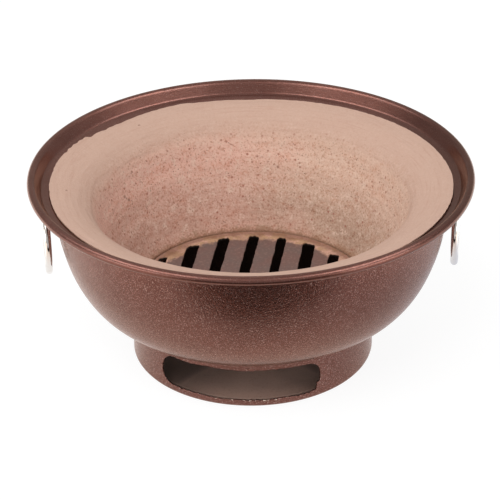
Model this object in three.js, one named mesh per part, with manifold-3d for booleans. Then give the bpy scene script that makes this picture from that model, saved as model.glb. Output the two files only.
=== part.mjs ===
// Charcoal brazier: a pressed steel bowl on a foot ring, lined with fired clay, with a loose
// slotted grate over the ash chamber and two ring handles that hang in eye bolts.
// Millimetres, +Z up. The origin is on the ground under the middle of the bowl. The ash vent
// faces -Y and the handles are on -X and +X.

import * as THREE from 'three';
import { mergeVertices } from 'three/addons/utils/BufferGeometryUtils.js';
import Module from 'manifold-3d';

const wasm = await Module();
wasm.setup();

// ---------------------------------------------------------------- driving dimensions

// whole object
const overallHeight = 150;
const rimRadius = 165; // outer edge of the rolled rim
const contactGap = 0.3; // left between pieces that rest on each other

// facets
const roundSteps = 60; // around every large round piece
const wallSteps = 8; // up the bowl wall
const bendSteps = 2; // in each bend of the sheets
const cornerSteps = 6; // in each rounded slot end or vent corner
const barSteps = 20; // around each bar, hole and eye
const wireSteps = 8; // around the ring's and the eye's wire
const ringSteps = 36; // along the ring's wire

// steel bowl
const shellSheet = 1.2;
const beadRadius = 3.2; // outside of the roll along the rim
const beadEndAngle = -130; // where the curled edge stops, in degrees from straight outwards
const ridgeInset = 9.8; // rim edge to the bend between the ledge and the steep rim wall
const ridgeDrop = 10.2; // rim top to that bend
const ledgeSlope = 13; // degrees, the ledge rises outwards
const throatRadius = 3; // bend between the bowl wall and the ledge
const wallInset = 19.4; // rim edge to the bowl wall at its top

// grate and the hole that it covers
const grateRadius = 88;
const grateThickness = 2.5;
const grateSeatWidth = 3.5; // how far the grate laps over the bowl bottom
const slotWidth = 8.8;
const slotPitch = 22.5;
const slotMargin = 3.5; // slot ends to the edge of the ash hole
const slotTurn = 9; // degrees, the slots run from front left to back right
const shortestSlot = 12;

// foot ring
const footHeight = 45.1;
const footSheet = 1.2;
const footTaper = 1.2; // the ring is this much wider at the ground
const footSeam = 6.5; // ash hole edge to the outside of the foot ring's top
const footFlange = 5; // turned-in edges, measured from the outside of the ring
const footBend = 2; // radius of the bends, at the middle of the sheet
const bottomReach = 9.2; // foot ring to the edge of the bowl's flat bottom

// ash vent, cut in the foot ring
const ventSill = 5.8; // ground to the vent's lower edge
const ventHeight = 24.2;
const ventSpan = 79.9; // degrees
const ventTurn = -8.5; // degrees from the front, towards -X
const ventCorner = { lowerLeft: 10.5, upperLeft: 13, upperRight: 10.5, lowerRight: 5 };

// ash floor, a shallow tray on the foot ring's lower flange
const traySheet = 1;
const trayLip = 3.5;
const trayBend = 1.5;

// clay lining
const clayEdgeInset = 15.5; // rim edge to the clay's outer edge, on the ledge
const clayEdgeThickness = 0.9;
const clayTopWidth = 28.5; // clay's outer edge to the lip of the fire bowl
const clayLipDrop = 21.6; // rim top to that lip
const clayLipSlope = 44; // degrees, at the lip
const wellClearance = 1; // round the grate
const wellRise = 1; // the straight part of the well stands this much above the grate
const shoulderPull = { out: 0.4, dip: 0.07, lip: 0.36 }; // how full the shoulder is, in top widths
const cavityPull = { lip: 0.14, out: 0.6, up: 0.36 }; // how full the cavity is, in its width and depth

// ring handles
const ringOuterDiameter = 60;
const ringWire = 5.5;
const ringYaw = { left: 6.9, right: 9.1 }; // degrees, each ring hangs a little turned in its loose eye
const eyeDrop = 9.3; // top of the bowl wall to the middle of the eye
const eyeSlack = 0.85; // round the ring's wire in the eye
const eyeWire = 3.5;
const eyeSunk = 1; // how far the eye runs into its collar
const shankDiameter = 4;
const shankEnd = 2; // thread left past the nut
const collarRadius = 4.5;
const collarThickness = 1.5;
const nutAcrossFlats = 7;
const nutThickness = 3.2;
const boreClearance = 0.3; // round the shank, in the shell and in the nut
const pocketClearance = 0.6; // clay kept off the nut and the shank

// ---------------------------------------------------------------- sizes that follow

const ashHoleRadius = grateRadius - grateSeatWidth;
const footTopRadius = ashHoleRadius + footSeam;
const footBottomRadius = footTopRadius + footTaper;
const flatBottomRadius = footTopRadius + bottomReach;

// middle line of the bowl's sheet
const floorMiddle = footHeight + contactGap + shellSheet / 2;
const floorTop = floorMiddle + shellSheet / 2;
const wallMiddle = rimRadius - wallInset;
const ridge = new THREE.Vector2(rimRadius - ridgeInset, overallHeight - ridgeDrop);
const ledgeRise = Math.tan(rad(ledgeSlope));
const throat = new THREE.Vector2(
  wallMiddle + throatRadius,
  ridge.y + (wallMiddle + throatRadius - ridge.x) * ledgeRise - throatRadius / Math.cos(rad(ledgeSlope)),
);
const bead = new THREE.Vector2(rimRadius - beadRadius, overallHeight - beadRadius);
const wallWidth = wallMiddle - flatBottomRadius;
const wallDepth = throat.y - floorMiddle;

const grateBottom = floorTop + contactGap;
const grateTop = grateBottom + grateThickness;

// eye bolts
const ringRadius = (ringOuterDiameter - ringWire) / 2;
const eyeHeight = throat.y - eyeDrop;
const eyeHole = ringWire / 2 + eyeSlack;
const eyeOuter = eyeHole + eyeWire;
const nutCorner = nutAcrossFlats / Math.sqrt(3);
const collarFace = wallMiddleAt(eyeHeight + collarRadius) + shellSheet / 2 + contactGap;
const eyeCentre = collarFace + collarThickness + eyeOuter - eyeSunk;
const nutFace = wallMiddleAt(eyeHeight - nutCorner) - shellSheet / 2 - contactGap;
const shankTip = nutFace - nutThickness - shankEnd;
const hingeHeight = eyeHeight - (eyeSlack - contactGap);

// ---------------------------------------------------------------- helpers

function rad(degrees) {
  return (degrees * Math.PI) / 180;
}

// Radius of the bowl wall's middle line at a height: a quarter ellipse below the throat.
function wallMiddleAt(height) {
  const down = Math.min(1, Math.max(0, (throat.y - height) / wallDepth));
  return flatBottomRadius + wallWidth * Math.sqrt(1 - down * down);
}

function point(x, y) {
  return new THREE.Vector2(x, y);
}

// Points on an elliptical arc, both ends included.
function arc(centreX, centreY, radiusX, radiusY, from, to, steps) {
  const points = [];
  for (let i = 0; i <= steps; i += 1) {
    const angle = rad(from + ((to - from) * i) / steps);
    points.push(point(centreX + radiusX * Math.cos(angle), centreY + radiusY * Math.sin(angle)));
  }
  return points;
}

function roundArc(centre, radius, from, to, steps) {
  return arc(centre.x, centre.y, radius, radius, from, to, steps);
}

// A line moved sideways by a distance, to the left of its direction, with mitred corners.
function offset(line, distance) {
  return line.map((here, i) => {
    const before = line[Math.max(0, i - 1)];
    const after = line[Math.min(line.length - 1, i + 1)];
    const into = here.clone().sub(before);
    const out = after.clone().sub(here);
    const first = (i === 0 ? out : into).normalize();
    const second = (i === line.length - 1 ? into : out).normalize();
    const along = first.clone().add(second).normalize();
    const mitre = distance / Math.max(0.5, along.dot(first));
    return point(here.x - along.y * mitre, here.y + along.x * mitre);
  });
}

// Closed outline of a bent sheet, from its middle line.
function sheetOutline(middle, thickness) {
  return [...offset(middle, -thickness / 2), ...offset(middle, thickness / 2).reverse()];
}

// A closed outline turned round the Z axis. The outline runs anticlockwise.
function revolve(outline) {
  const geometry = new THREE.LatheGeometry([...outline, outline[0].clone()], roundSteps);
  return geometry.rotateX(Math.PI / 2);
}

function toSolid(geometry) {
  geometry.deleteAttribute('normal');
  geometry.deleteAttribute('uv');
  const merged = mergeVertices(geometry, 1e-4);
  return new wasm.Manifold(
    new wasm.Mesh({
      numProp: 3,
      vertProperties: new Float32Array(merged.attributes.position.array),
      triVerts: new Uint32Array(merged.index.array),
    }),
  );
}

function fromSolid(solid) {
  const mesh = solid.getMesh();
  const geometry = new THREE.BufferGeometry();
  geometry.setAttribute('position', new THREE.BufferAttribute(mesh.vertProperties, 3));
  geometry.setIndex(new THREE.BufferAttribute(mesh.triVerts, 1));
  geometry.computeVertexNormals();
  return geometry;
}

// A round bar along X between two places, at a height.
function barAlongX(from, to, radius, height) {
  const bar = new THREE.CylinderGeometry(radius, radius, Math.abs(to - from), barSteps);
  return toSolid(bar.rotateZ(Math.PI / 2).translate((from + to) / 2, 0, height));
}

// ---------------------------------------------------------------- steel bowl

// Middle line of the sheet: flat bottom, elliptical wall, throat bend, ledge, steep rim wall
// that meets the bead as a tangent, and the bead curled outwards and under.
function shellMiddleLine() {
  const curl = beadRadius - shellSheet / 2;
  const reach = bead.clone().sub(ridge);
  const climb = Math.atan2(reach.y, reach.x) + Math.asin(curl / reach.length());
  const beadStart = THREE.MathUtils.radToDeg(climb) + 90;
  return [
    point(ashHoleRadius, floorMiddle),
    ...arc(flatBottomRadius, throat.y, wallWidth, wallDepth, -90, 0, wallSteps),
    ...roundArc(throat, throatRadius, 180, 90 + ledgeSlope, bendSteps).slice(1),
    ridge,
    ...roundArc(bead, curl, beadStart, 90, bendSteps),
    ...roundArc(bead, curl, 90, 0, bendSteps).slice(1),
    ...roundArc(bead, curl, 0, beadEndAngle, bendSteps + 1).slice(1),
  ];
}

function bowlShell() {
  let shell = toSolid(revolve(sheetOutline(shellMiddleLine(), shellSheet)));
  for (const side of [-1, 1]) {
    const hole = barAlongX(side * shankTip, side * eyeCentre, shankDiameter / 2 + boreClearance, eyeHeight);
    shell = shell.subtract(hole);
  }
  return fromSolid(shell);
}

// ---------------------------------------------------------------- clay lining

function clayOutline() {
  const standOff = shellSheet / 2 + contactGap;
  const clayEdge = rimRadius - clayEdgeInset;
  const ledge = point(clayEdge, ridge.y + (clayEdge - ridge.x) * ledgeRise);
  const backed = [
    point(flatBottomRadius, floorMiddle),
    ...arc(flatBottomRadius, throat.y, wallWidth, wallDepth, -90, 0, wallSteps).slice(1),
    ...roundArc(throat, throatRadius, 180, 90 + ledgeSlope, bendSteps).slice(1),
    ledge,
  ];
  const back = offset(backed, standOff);
  const edgeTop = point(clayEdge, back[back.length - 1].y + clayEdgeThickness);
  const lip = point(clayEdge - clayTopWidth, overallHeight - clayLipDrop);
  const lipDirection = point(-Math.cos(rad(clayLipSlope)), -Math.sin(rad(clayLipSlope)));
  const well = grateRadius + wellClearance;
  const wellTop = point(well, grateTop + wellRise);
  const drop = lip.y - wellTop.y;
  const shoulder = new THREE.CubicBezierCurve(
    edgeTop,
    edgeTop.clone().sub(point(shoulderPull.out, shoulderPull.dip).multiplyScalar(clayTopWidth)),
    lip.clone().sub(lipDirection.clone().multiplyScalar(clayTopWidth * shoulderPull.lip)),
    lip,
  );
  const cavity = new THREE.CubicBezierCurve(
    lip,
    lip.clone().add(lipDirection.clone().multiplyScalar(drop * cavityPull.lip)),
    wellTop.clone().add(point((lip.x - well) * cavityPull.out, drop * cavityPull.up)),
    wellTop,
  );
  return [
    point(well, grateBottom),
    ...back,
    ...shoulder.getPoints(wallSteps / 2),
    ...cavity.getPoints(wallSteps - bendSteps).slice(1),
  ];
}

function clayLiner() {
  let clay = toSolid(revolve(clayOutline()));
  for (const side of [-1, 1]) {
    const tip = side * (shankTip - pocketClearance);
    clay = clay.subtract(barAlongX(tip, side * eyeCentre, nutCorner + pocketClearance, eyeHeight));
  }
  return fromSolid(clay);
}

// ---------------------------------------------------------------- grate

// Slots lie side by side at one pitch, evenly about the middle, and end on one circle.
function grate() {
  const plate = new THREE.Shape(arc(0, 0, grateRadius, grateRadius, 0, 360, roundSteps).slice(1));
  const slotCircle = ashHoleRadius - slotMargin;
  const end = slotWidth / 2;
  for (let across = slotPitch / 2; across < slotCircle; across += slotPitch) {
    const half = Math.sqrt(slotCircle ** 2 - across ** 2);
    if (half * 2 >= shortestSlot) {
      for (const x of [-across, across]) {
        const top = roundArc(point(x, half - end), end, 0, 180, cornerSteps);
        const bottom = roundArc(point(x, end - half), end, 180, 360, cornerSteps);
        plate.holes.push(new THREE.Path([...top, ...bottom]));
      }
    }
  }
  const geometry = new THREE.ExtrudeGeometry(plate, { depth: grateThickness, bevelEnabled: false });
  return geometry.rotateZ(-rad(slotTurn)).translate(0, 0, grateBottom);
}

// ---------------------------------------------------------------- foot ring

function footMiddleLine() {
  const half = footSheet / 2;
  const low = half + footBend;
  const high = footHeight - half - footBend;
  return [
    point(footBottomRadius - footFlange, half),
    ...roundArc(point(footBottomRadius - low, low), footBend, -90, 0, bendSteps),
    ...roundArc(point(footTopRadius - low, high), footBend, 0, 90, bendSteps),
    point(footTopRadius - footFlange, footHeight - half),
  ];
}

// The vent is drawn on the unrolled wall with rounded corners and seen straight from the front
// of the vent, where a distance s along the wall shows as R sin(s / R).
function ventCutter() {
  const half = (rad(ventSpan) / 2) * footBottomRadius;
  const top = ventSill + ventHeight;
  const corners = [
    [half - ventCorner.upperRight, top - ventCorner.upperRight, ventCorner.upperRight, 0],
    [ventCorner.upperLeft - half, top - ventCorner.upperLeft, ventCorner.upperLeft, 90],
    [ventCorner.lowerLeft - half, ventSill + ventCorner.lowerLeft, ventCorner.lowerLeft, 180],
    [half - ventCorner.lowerRight, ventSill + ventCorner.lowerRight, ventCorner.lowerRight, 270],
  ];
  const outline = corners.flatMap(([x, y, radius, start]) =>
    roundArc(point(x, y), radius, start, start + 90, cornerSteps),
  );
  const seen = outline.map((p) => point(footBottomRadius * Math.sin(p.x / footBottomRadius), p.y));
  const cutter = new THREE.ExtrudeGeometry(new THREE.Shape(seen), {
    depth: footBottomRadius + footSheet,
    bevelEnabled: false,
  });
  return toSolid(cutter.rotateX(Math.PI / 2).rotateZ(rad(ventTurn)));
}

function footRing() {
  const ring = toSolid(revolve(sheetOutline(footMiddleLine(), footSheet)));
  return fromSolid(ring.subtract(ventCutter()));
}

// ---------------------------------------------------------------- ash floor

// A shallow tray that lies on the foot ring's lower flange, inside its bend.
function ashFloor() {
  const half = traySheet / 2;
  const low = footSheet + contactGap;
  const radius = footBottomRadius - footSheet - footBend - contactGap;
  const bend = point(radius - half - trayBend, low + half + trayBend);
  const turned = [...roundArc(bend, trayBend, -90, 0, bendSteps), point(radius - half, low + trayLip)];
  const under = offset(turned, -half);
  const upper = offset(turned, half).reverse();
  return revolve([point(0, low), ...under, ...upper, point(0, low + traySheet)]);
}

// ---------------------------------------------------------------- ring handles

function ringHandle(side, yaw) {
  const ring = new THREE.TorusGeometry(ringRadius, ringWire / 2, wireSteps, ringSteps);
  ring.rotateY(Math.PI / 2).rotateZ(-side * rad(yaw));
  return ring.translate(side * eyeCentre, 0, hingeHeight - ringRadius);
}

function eyeBolt(side) {
  const collarEnd = collarFace + collarThickness;
  const loop = new THREE.TorusGeometry(eyeHole + eyeWire / 2, eyeWire / 2, wireSteps, barSteps);
  const eye = toSolid(loop.rotateX(Math.PI / 2).translate(side * eyeCentre, 0, eyeHeight));
  const collar = barAlongX(side * collarFace, side * collarEnd, collarRadius, eyeHeight);
  const shank = barAlongX(side * shankTip, side * collarEnd, shankDiameter / 2, eyeHeight);
  return fromSolid(eye.add(collar).add(shank));
}

function eyeNut(side) {
  const hexagon = new THREE.Shape(arc(0, 0, nutCorner, nutCorner, 30, 390, 6).slice(1));
  const bore = shankDiameter / 2 + boreClearance;
  hexagon.holes.push(new THREE.Path(arc(0, 0, bore, bore, 0, 360, barSteps).slice(1)));
  const nut = new THREE.ExtrudeGeometry(hexagon, { depth: nutThickness, bevelEnabled: false });
  const start = side > 0 ? nutFace - nutThickness : -nutFace;
  return nut.rotateY(Math.PI / 2).translate(start, 0, eyeHeight);
}

// ---------------------------------------------------------------- finishes and assembly

function finish(color, roughness, metalness) {
  return () => new THREE.MeshStandardMaterial({ color, roughness, metalness });
}

const hammeredPaint = finish(0x744b42, 0.38, 0.55);
const footPaint = finish(0x784a42, 0.42, 0.5);
const trayPaint = finish(0x5b4238, 0.6, 0.3);
const firedClay = finish(0xccaa98, 0.95, 0);
const grateSteel = finish(0x755f58, 0.75, 0.35);
const chrome = finish(0xdcd8d4, 0.08, 1);
const zincSteel = finish(0xa9a7a3, 0.35, 0.9);

const brazier = new THREE.Group();

function place(name, geometry, material) {
  const mesh = new THREE.Mesh(geometry, material());
  mesh.name = name;
  brazier.add(mesh);
}

place('bowl_shell', bowlShell(), hammeredPaint);
place('clay_liner', clayLiner(), firedClay);
place('grate', grate(), grateSteel);
place('foot_ring', footRing(), footPaint);
place('ash_floor', ashFloor(), trayPaint);
for (const [label, side] of [['left', -1], ['right', 1]]) {
  place(`ring_handle_${label}`, ringHandle(side, ringYaw[label]), chrome);
  place(`eye_bolt_${label}`, eyeBolt(side), chrome);
  place(`eye_nut_${label}`, eyeNut(side), zincSteel);
}

export default brazier;
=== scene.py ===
"""Charcoal brazier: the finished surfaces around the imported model.

A pressed steel bowl in copper-brown hammered enamel stands on a foot ring with an ash vent. It is
lined with fired clay, a loose slotted grate lies over the ash chamber, and two ring handles hang
in eye bolts. Metres, +Z up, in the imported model's frame: the vent faces -Y.

Profiles are (radius, height) lines, turned round Z. Every piece is a grid of points worked out
with numpy from the sizes in the property groups below.
"""

import math

import bpy
import numpy as np
from bpy.props import FloatProperty, FloatVectorProperty, PointerProperty
from mathutils import Matrix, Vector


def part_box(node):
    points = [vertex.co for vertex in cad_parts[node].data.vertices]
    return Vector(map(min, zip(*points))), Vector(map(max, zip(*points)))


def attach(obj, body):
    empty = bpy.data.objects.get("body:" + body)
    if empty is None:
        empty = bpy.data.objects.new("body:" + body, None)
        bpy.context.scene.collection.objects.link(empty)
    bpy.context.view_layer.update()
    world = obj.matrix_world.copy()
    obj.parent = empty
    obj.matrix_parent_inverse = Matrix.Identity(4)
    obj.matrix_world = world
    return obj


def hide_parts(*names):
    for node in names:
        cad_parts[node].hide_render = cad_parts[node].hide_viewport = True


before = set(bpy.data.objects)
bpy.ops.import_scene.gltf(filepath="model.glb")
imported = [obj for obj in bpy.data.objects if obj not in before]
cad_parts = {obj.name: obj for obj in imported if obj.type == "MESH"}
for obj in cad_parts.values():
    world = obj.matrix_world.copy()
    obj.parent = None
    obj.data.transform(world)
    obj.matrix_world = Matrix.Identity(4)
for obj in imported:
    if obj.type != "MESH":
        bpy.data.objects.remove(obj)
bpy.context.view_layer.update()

bl_info = {
    "name": "Charcoal Brazier",
    "version": (1, 0, 0),
    "blender": (4, 5, 0),
    "location": "View3D > Sidebar > Brazier",
    "description": "Makes the finished surfaces of a clay-lined charcoal brazier",
    "category": "Add Mesh",
}

MM = 0.001
IN_METRES = {"unit": "LENGTH", "precision": 4}
SHELL_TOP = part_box("bowl_shell")[1]
FOOT_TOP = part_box("foot_ring")[1]
GRATE_LOW, GRATE_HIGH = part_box("grate")
TRAY_LOW, TRAY_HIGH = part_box("ash_floor")
EYE_LOW, EYE_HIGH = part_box("eye_bolt_right")
NUT_LOW, NUT_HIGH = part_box("eye_nut_right")

SIDES = (("left", -1), ("right", 1))
QUARTER = math.pi / 2  # of a turn
# how many steps each piece has round the Z axis
BOWL_STEPS, CLAY_STEPS, FOOT_STEPS, TRAY_STEPS = 300, 480, 480, 160
NO_SLOT = -1
WHITE = (1.0, 1.0, 1.0)
# the sockets for colours among a mix node's
MIX_A, MIX_B, MIX_RESULT = 6, 7, 2
# how far the clay's edge stops short: degrees from +X, and shares of the full shortfall there
SHORT_AT = (0, 30, 60, 90, 106, 110, 132, 140, 143, 146.5, 148, 154, 164, 185, 222, 240, 300, 320, 340, 360)
SHORT_BY = (
    (-0.1, 0.1, 0.6, 1.1, 0.8, 0.35, 1.0, 0.9, 0.6, 0.55)
    + (-0.1, -0.4, -0.3, 0.1, 0.45, 0.2, 0.3, 0.4, 0.0, -0.1)
)
# nicks in the clay: x, y and height of the middle, then the size, in millimetres
NICKS = (
    (-97.0, 52.9, 101.1, 1.9),
    (-96.2, 54.0, 99.0, 1.6),
    (-94.2, 55.4, 97.1, 1.8),
    (-85.7, 105.7, 137.1, 1.2),
    (-91.4, 69.1, 114.5, 1.6),
    (24.0, 106.7, 97.3, 1.5),
    (-136.2, -4.5, 137.1, 1.2),
)


# ---- settings


def length(name, description, millimetres):
    """A length, written in millimetres and kept in metres."""
    return FloatProperty(name=name, description=description, default=millimetres * MM, **IN_METRES)


def lengths(name, description, *millimetres):
    """Several lengths as one property."""
    options = {"default": tuple(x * MM for x in millimetres), "size": len(millimetres), **IN_METRES}
    return FloatVectorProperty(name=name, description=description, **options)


def angle(name, description, degrees):
    return FloatProperty(name=name, description=description, default=math.radians(degrees), subtype="ANGLE")


def share(name, description, default):
    return FloatProperty(name=name, description=description, default=default, min=0.0, max=10.0)


def colour(name, description, red, green, blue):
    """A colour property, written as the 0 to 255 values that a picture shows."""
    encoded = np.array([red, green, blue]) / 255
    linear = np.where(encoded <= 0.04045, encoded / 12.92, ((encoded + 0.055) / 1.055) ** 2.4)
    options = {"default": tuple(float(x) for x in linear), "subtype": "COLOR", "size": 3}
    return FloatVectorProperty(name=name, description=description, min=0.0, max=1.0, **options)


class BowlSettings(bpy.types.PropertyGroup):
    rim_radius: length("Rim radius", "Outer edge of the rolled rim", round(SHELL_TOP.x / MM))
    height: length("Height", "Top of the rim", round(SHELL_TOP.z / MM))
    sheet: length("Sheet", "Thickness of the steel", 1.2)
    bead_radius: length("Bead radius", "Outside of the roll along the rim", 3.2)
    bead_end: angle("Bead end", "Where the curled edge stops, from straight outwards", -130)
    ridge_inset: length("Ridge inset", "Rim edge to the bend below the steep rim wall", 9.8)
    ridge_drop: length("Ridge drop", "Rim top to that bend", 10.2)
    ridge_bend: length("Ridge bend", "Radius of that bend", 1.6)
    ledge_slope: angle("Ledge slope", "The ledge rises outwards", 13)
    throat_radius: length("Throat radius", "Bend between the wall and the ledge", 3)
    wall_inset: length("Wall inset", "Rim edge to the bowl wall at its top", 19.4)
    flat_radius: length("Flat bottom", "Radius of the flat bottom", 100.2)
    hole_radius: length("Ash hole", "Radius of the hole under the grate", 84.5)
    foot_gap: length("Foot gap", "Between the foot ring and the bottom", 0.3)
    uneven: length("Unevenness", "How far the pressed wall wanders", 0.1)


class ClaySettings(bpy.types.PropertyGroup):
    gap: length("Gap", "Between the clay and the steel", 0.3)
    edge_inset: length("Edge inset", "Rim edge to the clay's outer edge", 15.5)
    edge_thickness: length("Edge thickness", "Clay's thickness at its outer edge", 0.9)
    top_width: length("Top width", "Outer edge to the lip of the fire bowl", 28.5)
    lip_drop: length("Lip drop", "Rim top to the lip", 21.6)
    lip_slope: angle("Lip slope", "Slope at the lip", 44)
    well_clearance: length("Well clearance", "Round the grate", 1)
    well_rise: length("Well rise", "Straight part of the well above the grate", 1)
    uneven: length("Unevenness", "How far the hand-smoothed clay wanders", 0.35)
    ragged: length("Ragged edge", "How far the outer edge wanders on the ledge", 0.45)
    edge_short: length("Short edge", "How far the clay stops short of the ledge at the back", 3)


class GrateSettings(bpy.types.PropertyGroup):
    radius: length("Radius", "Edge of the plate", 88)
    slot_pitch: length("Slot pitch", "From slot to slot", 22.5)
    slot_circle: length("Slot circle", "Circle that the slots end on", 81)
    slot_turn: angle("Slot turn", "Turn of the slots, clockwise from above", 9)
    slot_widths: lengths("Slot widths", "Across each slot, from -X", 6.4, 9.7, 9.1, 8.6, 7.4, 9.8, 8.2, 7.5)
    slot_shifts: lengths("Slot shifts", "From each slot's even place", 3.4, 1.2, 1.5, 2.2, 2.4, 2.4, 1.2, 0)
    slot_slants: lengths("Slot slants", "Slope of each slot's far end", 3, 4, 2.5, 0.5, -0.5, -2.5, -1, -2)
    slot_extras: lengths("Slot extras", "Added to each slot's far end", 7.5, 0, 0, 0, 0, 0, 0, 0)
    ragged: length("Ragged cut", "How far the cut edges wander", 0.3)
    slip_width: length("Slip border", "Width of the clay smeared on the border", 13)
    slip_height: length("Slip height", "Thickness of that clay", 0.5)
    arris: length("Arris", "Rounding of the cut edges", 0.25)


class FootSettings(bpy.types.PropertyGroup):
    bottom_radius: length("Bottom radius", "Outside of the ring at the ground", 92.2)
    top_radius: length("Top radius", "Outside of the ring at its top", 91)
    sheet: length("Sheet", "Thickness of the steel", 1.2)
    flange: length("Flange", "Turned-in edges, from the outside", 5)
    bend: length("Bend", "Outer radius of the bends", 2.6)
    vent_sill: length("Vent sill", "Ground to the vent's lower edge", 5.8)
    vent_height: length("Vent height", "Height of the vent", 24.2)
    vent_span: angle("Vent span", "Angle that the vent takes", 79.9)
    vent_turn: angle("Vent turn", "From the front, towards -X", 8.5)
    vent_corners: lengths("Vent corners", "Radii from the lower left, anticlockwise", 10.5, 4, 10.5, 13)
    vent_crown: length("Vent crown", "Rise of the vent's upper edge at its middle", 1)
    vent_notch: length("Vent notch", "Left standing at the lower right corner", 2.5)
    ragged: length("Ragged cut", "How far the vent's edge wanders", 0.6)
    arris: length("Arris", "Rounding of the vent's edges", 0.2)


class TraySettings(bpy.types.PropertyGroup):
    sheet: length("Sheet", "Thickness of the steel", 1)
    bend: length("Bend", "Radius of the bend at its middle", 1.5)
    uneven: length("Unevenness", "How far the floor dips and rises", 0.2)


class HandleSettings(bpy.types.PropertyGroup):
    ring_diameter: length("Ring diameter", "Outside of the ring", 60)
    ring_wire: length("Ring wire", "Diameter of the ring's wire", 5.5)
    yaw_left: angle("Left turn", "Turn of the left ring in its eye", 6.9)
    yaw_right: angle("Right turn", "Turn of the right ring in its eye", 9.1)
    eye_slack: length("Eye slack", "Round the ring's wire in the eye", 0.85)
    eye_wire: length("Eye wire", "Diameter of the eye's wire", 3.5)
    seat_gap: length("Seat gap", "Between the ring and the eye that it hangs on", 0.3)
    shank_diameter: length("Shank", "Diameter of the shank", 4)
    thread_pitch: length("Thread pitch", "From turn to turn of the thread", 0.7)
    thread_depth: length("Thread depth", "Depth of the thread", 0.25)
    collar_radius: length("Collar radius", "Round collar against the bowl", 4.5)
    collar_thickness: length("Collar", "Thickness of the collar", 1.5)
    collar_edge: length("Collar edge", "Rounding of the collar's edge", 0.4)
    point: length("Point", "Length of the shank's chamfered end", 0.6)
    eye_sunk: length("Eye sunk", "How far the eye runs into its collar", 1)
    nut_flats: length("Nut", "Across the nut's flats", 7)
    nut_chamfer: length("Nut chamfer", "Chamfer at both ends of the nut", 0.5)


class FinishSettings(bpy.types.PropertyGroup):
    enamel: colour("Enamel", "Copper-brown of the hammered enamel", 124, 82, 73)
    enamel_deep: colour("Enamel, deep", "The same enamel in the dimples", 100, 60, 51)
    enamel_fleck: colour("Enamel flecks", "Bright flakes in the enamel", 206, 182, 177)
    hammer_grain: length("Hammer grain", "Size of the hammered pattern", 1)
    hammer_depth: length("Hammer depth", "Depth of the hammered pattern", 0.42)
    fade_low: length("Fade, from", "Height where the hammered pattern starts to fade", 133.5)
    fade_high: length("Fade, to", "Height where the enamel is smoothest", 138.5)
    clay: colour("Clay", "Fired clay on the shoulder", 203, 169, 151)
    # painted light: a lighter pink for the left of the fire bowl, which the lamp leaves in shade
    clay_pink_lift: colour("Clay, pink", "Fired clay inside the fire bowl", 232, 188, 171)
    clay_tan: colour("Clay, tan", "Tan clouds inside the fire bowl", 225, 193, 172)
    clay_joint: colour("Clay at the grate", "Stained clay round the grate", 150, 112, 86)
    clay_red: colour("Red specks", "Red grains in the clay", 158, 96, 78)
    # dark brown: painted shade at the bottom of the clay's pores and nicks, and also a dark edge on the
    # grate's border
    clay_pore: colour("Pores", "Bottom of a pore", 118, 76, 58)
    clay_light: colour("Grit", "Pale grains in the clay", 232, 206, 188)
    plate: colour("Grate", "Dusty plate", 109, 89, 83)
    slip: colour("Clay slip", "Clay smeared on the grate's border", 206, 164, 144)
    ochre: colour("Ochre", "Ochre patches in that clay", 184, 148, 114)
    # painted shade: the dark colour of the foot ring's inside, the slots' cut faces and the ash floor away
    # from the vent
    painted_shade: colour("Shade", "Shaded inside of the foot ring and the slots", 30, 22, 18)
    tray: colour("Ash floor", "Dull brown enamel", 184, 151, 136)
    bare: colour("Bare steel", "Steel where the enamel is gone", 214, 198, 184)
    chrome: colour("Chrome", "Bright plating", 236, 232, 228)
    zinc: colour("Zinc", "Zinc plating", 190, 189, 186)


class StageSettings(bpy.types.PropertyGroup):
    camera: lengths("Camera", "Place of the camera", -25.2, -1256, 775.2)
    pitch: angle("Pitch", "How far the camera looks down", 28.93)
    yaw: angle("Yaw", "Turn of the camera, anticlockwise from above", -1.088)
    roll: angle("Roll", "Tilt of the camera about its line of sight", -0.772)
    lens: FloatProperty(name="Lens", description="Focal length in millimetres", default=136.66)
    sky: share("Sky", "Strength of the even light", 0.62)
    key: FloatProperty(name="Key light", description="Power of the soft lamp in watts", default=30)
    floor_share: share("Floor share", "How much of its shading the floor shows", 0.16)
    floor_glow: share("Floor glow", "Lift of the floor to white", 0.9)
    dark: share("Dark studio", "Brightness of the dark studio in reflections", 0.01)
    dim: share("Dim dome", "Brightness of the studio above and behind in reflections", 0.47)
    band: share("Bright band", "Brightness of the lit walls beside the camera in reflections", 4.3)
    table_edge: length("Table edge", "Where the bright table ends in reflections", 219)


class BrazierSettings(bpy.types.PropertyGroup):
    bowl: PointerProperty(type=BowlSettings)
    clay: PointerProperty(type=ClaySettings)
    grate: PointerProperty(type=GrateSettings)
    foot: PointerProperty(type=FootSettings)
    tray: PointerProperty(type=TraySettings)
    handles: PointerProperty(type=HandleSettings)
    finish: PointerProperty(type=FinishSettings)
    stage: PointerProperty(type=StageSettings)


# ---- lines and grids


def stacked(*parts):
    """Points from their coordinates: arrays of any shapes that fit one another, or numbers."""
    return np.stack(np.broadcast_arrays(*parts), axis=-1)


def arc(centre, radii, start, stop, steps):
    """Points centre + (radius x cos a, radius y sin a), with a from start to stop in radians."""
    a = np.linspace(start, stop, steps + 1)
    return stacked(centre[0] + radii[0] * np.cos(a), centre[1] + radii[1] * np.sin(a))


def bend(before, corner, after, radius, steps=8):
    """An arc that rounds a corner: it starts and ends radius * tan(turn / 2) from the corner."""
    before, corner, after = (np.asarray(p, float) for p in (before, corner, after))
    into = (corner - before) / np.linalg.norm(corner - before)
    out = (after - corner) / np.linalg.norm(after - corner)
    turn = math.atan2(into[0] * out[1] - into[1] * out[0], into @ out)
    side = math.copysign(1.0, turn)
    start = corner - into * radius * math.tan(abs(turn) / 2)
    centre = start + side * radius * np.array([-into[1], into[0]])
    first = math.atan2(*(start - centre)[::-1])
    return arc(centre, (radius, radius), first, first + turn, steps)


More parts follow.
